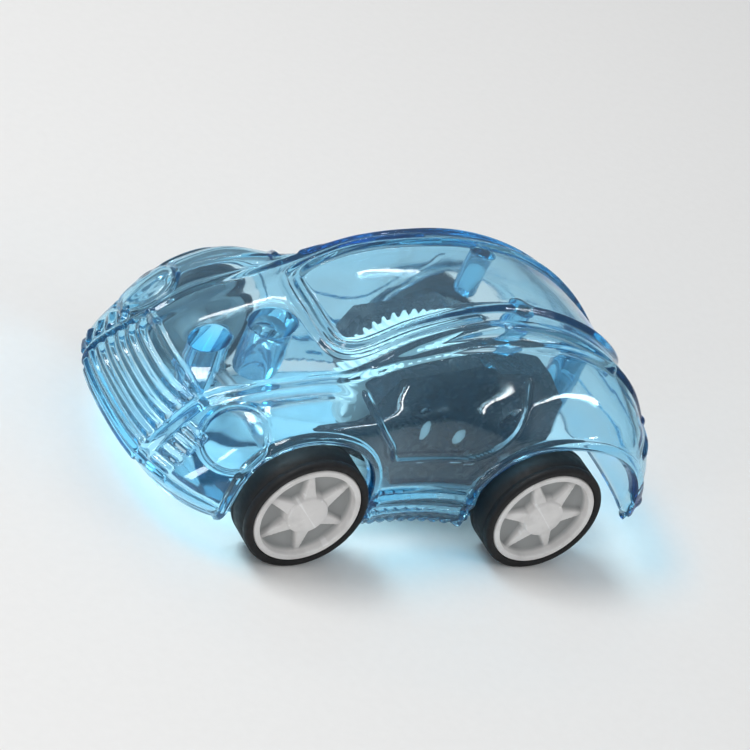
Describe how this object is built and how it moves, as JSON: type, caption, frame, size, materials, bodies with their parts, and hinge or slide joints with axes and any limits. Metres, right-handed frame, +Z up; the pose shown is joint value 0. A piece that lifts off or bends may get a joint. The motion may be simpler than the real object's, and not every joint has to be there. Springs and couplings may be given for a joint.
{
  "type": "pull back toy car",
  "caption": "Small clear-bodied pull back toy car with free-turning wheels and a spring motor geared to its rear axle.",
  "frame": {"origin": "on the ground, midway along the car's length, on its centre plane", "axes": "+X forward towards the nose, +Y to the car's left, +Z up; the wheels turn about Y"},
  "size_m": [0.0598, 0.0342, 0.0252],
  "materials": {
    "clear_blue_plastic": "polished clear polystyrene, tinted light blue, deeper where it is thick or seen edge on",
    "black_plastic": "moulded black plastic with a satin gloss",
    "white_plastic": "moulded off-white plastic, slightly milky",
    "gear_plastic": "natural white nylon",
    "black_rubber": "smooth soft black rubber",
    "steel": "plain drawn steel wire and plated screws",
    "spring_steel": "blued flat spring strip, lightly oiled"
  },
  "bodies": {
    "chassis": {"body_shell": "clear_blue_plastic", "base_plate": "clear_blue_plastic", "front_base_screw": "steel", "rear_base_screw": "steel", "motor_case_left": "black_plastic", "motor_case_right": "black_plastic", "mainspring": "spring_steel", "spring_gear_pin": "steel", "drive_gear_pin": "steel"},
    "front_wheels": {"front_axle": "steel", "wheel_hub_front_left": "white_plastic", "wheel_hub_front_right": "white_plastic", "tyre_front_left": "black_rubber", "tyre_front_right": "black_rubber"},
    "rear_wheels": {"rear_axle": "steel", "wheel_hub_rear_left": "white_plastic", "wheel_hub_rear_right": "white_plastic", "tyre_rear_left": "black_rubber", "tyre_rear_right": "black_rubber", "axle_pinion": "gear_plastic"},
    "drive_train": {"drive_gear": "gear_plastic"},
    "spring_drum": {"spring_gear": "gear_plastic"},
    "floating_pin": {"winding_gear_pin": "steel"},
    "floating_gear": {"winding_gear": "gear_plastic"}
  },
  "joints": [
    {"name": "rear_axle_spin", "type": "hinge", "parent": "chassis", "child": "rear_wheels", "pos_m": [-0.01435, 0, 0.00665], "axis": [0, 1, 0], "continuous": true},
    {"name": "front_axle_spin", "type": "hinge", "parent": "chassis", "child": "front_wheels", "pos_m": [0.01435, 0, 0.00665], "axis": [0, 1, 0], "continuous": true},
    {"name": "drive_gear_spin", "type": "hinge", "parent": "chassis", "child": "drive_train", "pos_m": [-0.00909, 0, 0.00737], "axis": [0, 1, 0], "continuous": true},
    {"name": "spring_gear_spin", "type": "hinge", "parent": "chassis", "child": "spring_drum", "pos_m": [-0.0015, 0, 0.0125], "axis": [0, 1, 0], "continuous": true, "deforming": ["mainspring"]},
    {"name": "winding_pin_float", "type": "slide", "parent": "chassis", "child": "floating_pin", "axis": [0.5713, 0, -0.8207], "range_m": [0, 0.0004]},
    {"name": "winding_gear_spin", "type": "hinge", "parent": "floating_pin", "child": "floating_gear", "pos_m": [-0.01292, 0, 0.01273], "axis": [0, 1, 0], "continuous": true}
  ],
  "couplings": [
    {"joint": "drive_gear_spin", "follows": "rear_axle_spin", "ratio": -0.5},
    {"joint": "spring_gear_spin", "follows": "rear_axle_spin", "ratio": 0.15}
  ]
}
